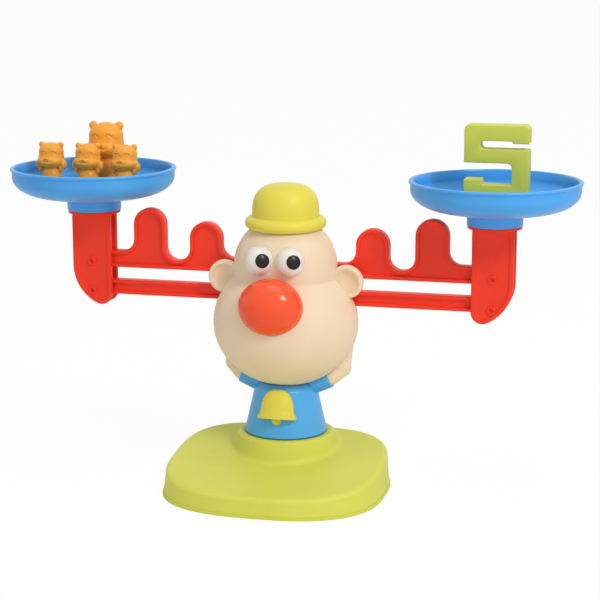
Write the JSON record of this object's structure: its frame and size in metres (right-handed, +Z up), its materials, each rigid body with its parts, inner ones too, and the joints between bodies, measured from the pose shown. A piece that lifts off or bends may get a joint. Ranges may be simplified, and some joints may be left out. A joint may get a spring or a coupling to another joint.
{
  "type": "balance scale toy",
  "caption": "Parallel-arm balance scale toy: an animal figure on a wedge base holds antler arms with two round pans, bear counters and a number weight.",
  "frame": {"origin": "on the floor under the centre of the balance arms, on the base's flat underside", "axes": "+X along the arms, to the right as seen from the front, -Y to the front of the figure, +Z up"},
  "size_m": [0.362, 0.1455, 0.2269],
  "materials": {
    "lime_plastic": "satin",
    "blue_plastic": "satin",
    "cream_plastic": "satin",
    "yellow_plastic": "satin",
    "red_plastic": "satin",
    "nose_plastic": "satin",
    "white_plastic": "satin",
    "black_plastic": "satin",
    "orange_plastic": "satin",
    "olive_plastic": "satin",
    "pin_steel": "satin"
  },
  "bodies": {
    "figure": {"base_shell": "lime_plastic", "base_cover": "lime_plastic", "base_screws": "pin_steel", "torso": "blue_plastic", "bell": "yellow_plastic", "bell_clapper": "yellow_plastic", "left_sleeve": "blue_plastic", "right_sleeve": "blue_plastic", "left_hand": "cream_plastic", "right_hand": "cream_plastic", "head_front": "cream_plastic", "head_rear": "cream_plastic", "head_screws": "pin_steel", "left_ear": "cream_plastic", "right_ear": "cream_plastic", "hat": "yellow_plastic", "nose": "nose_plastic", "left_eye": "white_plastic", "right_eye": "white_plastic", "left_pupil": "black_plastic", "right_pupil": "black_plastic", "beam_pivot_pin": "pin_steel", "link_pivot_pin": "pin_steel"},
    "antler_beam": {"antler_beam": "red_plastic"},
    "lower_link": {"lower_link": "red_plastic"},
    "left_hanger": {"left_hanger_front": "red_plastic", "left_hanger_rear": "red_plastic", "left_pan_seat": "red_plastic", "left_hanger_pins": "pin_steel", "left_pan": "blue_plastic"},
    "right_hanger": {"right_hanger_front": "red_plastic", "right_hanger_rear": "red_plastic", "right_pan_seat": "red_plastic", "right_hanger_pins": "pin_steel", "right_pan": "blue_plastic"},
    "number_five": {"number_five": "olive_plastic"},
    "bear_large": {"bear_large": "orange_plastic"},
    "bear_small_1": {"bear_small_1": "orange_plastic"},
    "bear_small_2": {"bear_small_2": "orange_plastic"},
    "bear_small_3": {"bear_small_3": "orange_plastic"}
  },
  "joints": [
    {"name": "beam_tilt", "type": "hinge", "parent": "figure", "child": "antler_beam", "pos_m": [0, 0, 0.1419], "axis": [0, 1, 0], "range_deg": [-8, 8]},
    {"name": "link_tilt", "type": "hinge", "parent": "figure", "child": "lower_link", "pos_m": [0, 0, 0.1228], "axis": [0, 1, 0], "range_deg": [-8, 8]},
    {"name": "left_hanger_level", "type": "hinge", "parent": "antler_beam", "child": "left_hanger", "pos_m": [-0.1285, 0, 0.1339], "axis": [0, 1, 0], "range_deg": [-8, 8]},
    {"name": "right_hanger_level", "type": "hinge", "parent": "antler_beam", "child": "right_hanger", "pos_m": [0.1285, 0, 0.1339], "axis": [0, 1, 0], "range_deg": [-8, 8]},
    {"name": "number_five_lift", "type": "slide", "parent": "right_hanger", "child": "number_five", "axis": [0, 0, 1], "range_m": [0, 0.06]},
    {"name": "bear_large_lift", "type": "slide", "parent": "left_hanger", "child": "bear_large", "axis": [0, 0, 1], "range_m": [0, 0.06]},
    {"name": "bear_small_1_lift", "type": "slide", "parent": "left_hanger", "child": "bear_small_1", "axis": [0, 0, 1], "range_m": [0, 0.06]},
    {"name": "bear_small_2_lift", "type": "slide", "parent": "left_hanger", "child": "bear_small_2", "axis": [0, 0, 1], "range_m": [0, 0.06]},
    {"name": "bear_small_3_lift", "type": "slide", "parent": "left_hanger", "child": "bear_small_3", "axis": [0, 0, 1], "range_m": [0, 0.06]}
  ],
  "couplings": [
    {"joint": "link_tilt", "follows": "beam_tilt", "ratio": 1},
    {"joint": "left_hanger_level", "follows": "beam_tilt", "ratio": -1},
    {"joint": "right_hanger_level", "follows": "beam_tilt", "ratio": -1}
  ]
}
